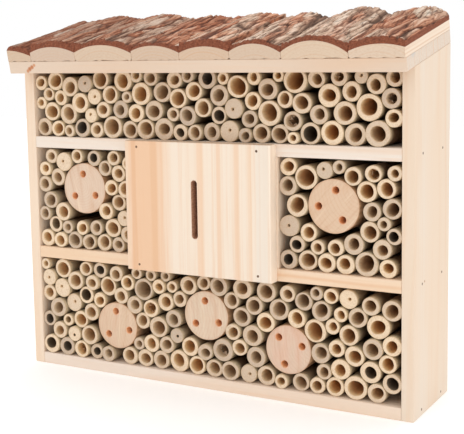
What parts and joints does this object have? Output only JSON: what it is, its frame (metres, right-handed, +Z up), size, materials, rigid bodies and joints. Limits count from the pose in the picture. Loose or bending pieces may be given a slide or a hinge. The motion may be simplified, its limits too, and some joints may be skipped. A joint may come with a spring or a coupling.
{
  "type": "insect hotel",
  "caption": "Pine insect hotel with bays of bamboo tubes and drilled logs, a slotted front panel and a sloping roof of bark-covered slabs; it stands or hangs.",
  "frame": {"origin": "middle of the case's footprint, on the ground", "axes": "+X along the front to the viewer's right, +Y from the front to the back, +Z up"},
  "size_m": [0.4, 0.1224, 0.3441],
  "materials": {
    "pine": "planed, bare",
    "slab_wood": "sawn, bare",
    "bark": "rough bark",
    "log_wood": "sawn end grain, bare",
    "bamboo": "bare cane with sawn ends",
    "nail_steel": "bright wire nails",
    "zinc_plated_steel": "zinc plated"
  },
  "bodies": {
    "root": {"left_side": "pine", "right_side": "pine", "bottom_board": "pine", "lower_shelf": "pine", "upper_shelf": "pine", "left_divider": "pine", "right_divider": "pine", "back_panel": "pine", "roof_board": "pine", "front_panel": "pine", "roof_slab_1": "slab_wood", "slab_bark_1": "bark", "roof_slab_2": "slab_wood", "slab_bark_2": "bark", "roof_slab_3": "slab_wood", "slab_bark_3": "bark", "roof_slab_4": "slab_wood", "slab_bark_4": "bark", "roof_slab_5": "slab_wood", "slab_bark_5": "bark", "roof_slab_6": "slab_wood", "slab_bark_6": "bark", "roof_slab_7": "slab_wood", "slab_bark_7": "bark", "roof_slab_8": "slab_wood", "slab_bark_8": "bark", "log_1": "log_wood", "log_2": "log_wood", "log_3": "log_wood", "log_4": "log_wood", "log_5": "log_wood", "bottom_tubes_1": "bamboo", "bottom_tubes_2": "bamboo", "bottom_tubes_3": "bamboo", "bottom_tubes_4": "bamboo", "bottom_tubes_5": "bamboo", "bottom_tubes_6": "bamboo", "left_tubes_1": "bamboo", "left_tubes_2": "bamboo", "left_tubes_3": "bamboo", "right_tubes_1": "bamboo", "right_tubes_2": "bamboo", "right_tubes_3": "bamboo", "top_tubes_1": "bamboo", "top_tubes_2": "bamboo", "top_tubes_3": "bamboo", "top_tubes_4": "bamboo", "side_nails": "nail_steel", "divider_nails": "nail_steel", "panel_nails": "nail_steel", "back_nails": "nail_steel", "roof_nails": "nail_steel", "slab_nails": "nail_steel", "left_hanger": "zinc_plated_steel", "right_hanger": "zinc_plated_steel", "hanger_screws": "zinc_plated_steel"}
  },
  "joints": []
}
